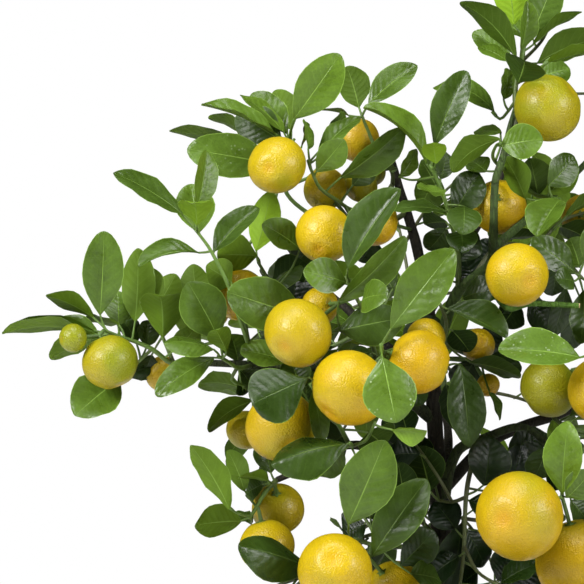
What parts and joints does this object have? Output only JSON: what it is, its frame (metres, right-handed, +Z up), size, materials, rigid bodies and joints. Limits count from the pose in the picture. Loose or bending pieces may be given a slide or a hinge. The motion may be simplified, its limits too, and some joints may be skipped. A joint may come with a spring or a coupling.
{
  "type": "potted citrus tree",
  "caption": "Small bushy citrus tree with dark oval leaves and round orange fruits in a round terracotta pot; a houseplant that rests on a flat surface.",
  "frame": {"origin": "middle of the pot's flat foot", "axes": "+Z up along the trunk; the front of the crown faces -Y, +X is the viewer's right"},
  "size_m": [0.4517, 0.3403, 0.6404],
  "materials": {
    "terracotta": "matte",
    "potting_soil": "matte",
    "bark": "matte",
    "leaf": "satin",
    "fruit_skin": "satin"
  },
  "bodies": {
    "root": {"fruit_back": "fruit_skin", "fruit_back_left": "fruit_skin", "fruit_back_right": "fruit_skin", "fruit_behind_leaf": "fruit_skin", "fruit_centre": "fruit_skin", "fruit_dark_centre": "fruit_skin", "fruit_far_left": "fruit_skin", "fruit_hanging_lower": "fruit_skin", "fruit_hanging_upper": "fruit_skin", "fruit_left": "fruit_skin", "fruit_left_shaded": "fruit_skin", "fruit_low_front": "fruit_skin", "fruit_low_front_pair": "fruit_skin", "fruit_low_left": "fruit_skin", "fruit_low_right": "fruit_skin", "fruit_low_right_pair": "fruit_skin", "fruit_lower_left_pair": "fruit_skin", "fruit_middle_pair": "fruit_skin", "fruit_right_edge": "fruit_skin", "fruit_right_front": "fruit_skin", "fruit_right_middle": "fruit_skin", "fruit_right_pair": "fruit_skin", "fruit_right_shaded": "fruit_skin", "fruit_right_side": "fruit_skin", "fruit_right_upper": "fruit_skin", "fruit_top_middle": "fruit_skin", "fruit_top_right": "fruit_skin", "fruit_upper_left": "fruit_skin", "fruit_upper_pair": "fruit_skin", "pot": "terracotta", "soil": "potting_soil", "spray_back": "leaf", "spray_back_right": "leaf", "spray_centre": "leaf", "spray_centre_left": "leaf", "spray_crown_top": "leaf", "spray_far_left": "leaf", "spray_hanging_left": "leaf", "spray_leader_middle": "leaf", "spray_leader_top": "leaf", "spray_left_back": "leaf", "spray_left_low": "leaf", "spray_left_middle": "leaf", "spray_left_shoot": "leaf", "spray_low": "leaf", "spray_low_centre": "leaf", "spray_low_front": "leaf", "spray_low_right": "leaf", "spray_lower_front": "leaf", "spray_lower_left": "leaf", "spray_middle_shoot": "leaf", "spray_right": "leaf", "spray_right_centre": "leaf", "spray_right_inner": "leaf", "spray_right_lower": "leaf", "spray_right_top": "leaf", "spray_round_leaf": "leaf", "spray_top_middle": "leaf", "spray_upper_left": "leaf", "wood": "bark"}
  },
  "joints": []
}
